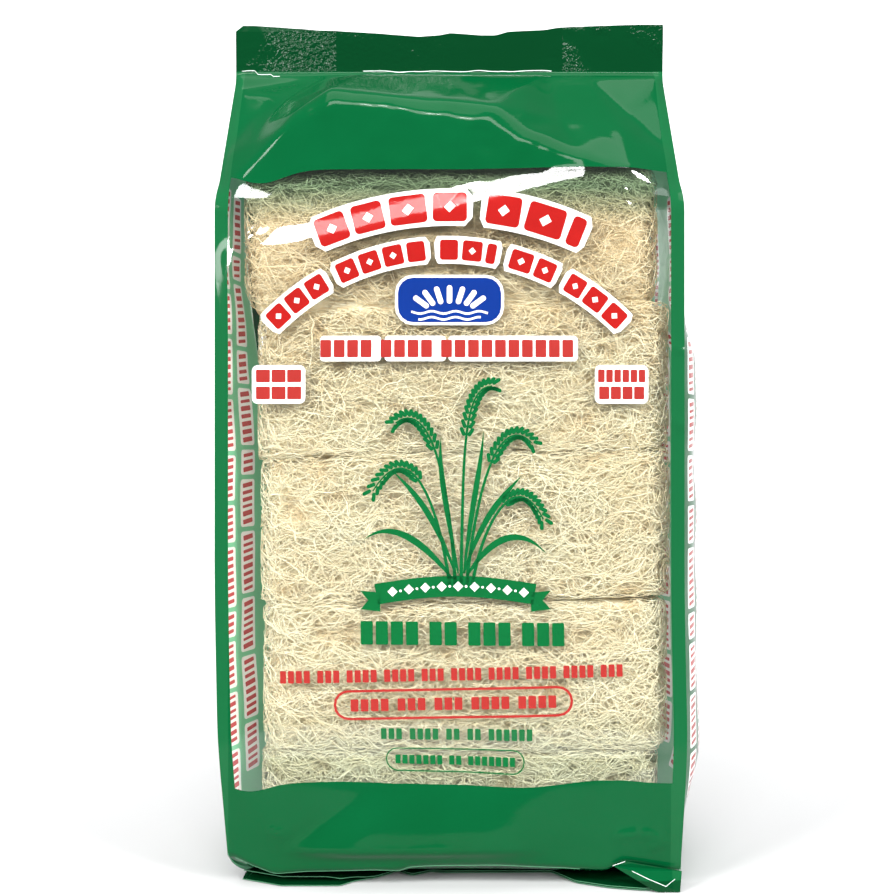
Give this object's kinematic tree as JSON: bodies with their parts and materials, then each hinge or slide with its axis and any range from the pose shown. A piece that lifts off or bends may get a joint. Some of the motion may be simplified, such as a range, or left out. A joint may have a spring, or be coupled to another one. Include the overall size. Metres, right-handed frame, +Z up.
{
  "type": "pack of dried rice vermicelli",
  "caption": "Sealed side-gusseted film pack of dried rice vermicelli, clear window and green bands, standing on its folded bottom with a flat fin on top.",
  "frame": {"origin": "bottom centre: middle of the pack's footprint, on the plane that it stands on", "axes": "+Z up along the pack's height to the top fin, front panel faces -Y, +X to the right seen from the front"},
  "size_m": [0.1726, 0.08, 0.316],
  "materials": {
    "printed_film": "gloss green printed film",
    "clear_film": "clear gloss film",
    "vermicelli": "matte dried rice strands"
  },
  "bodies": {
    "root": {"pack": "printed_film"}
  },
  "joints": []
}
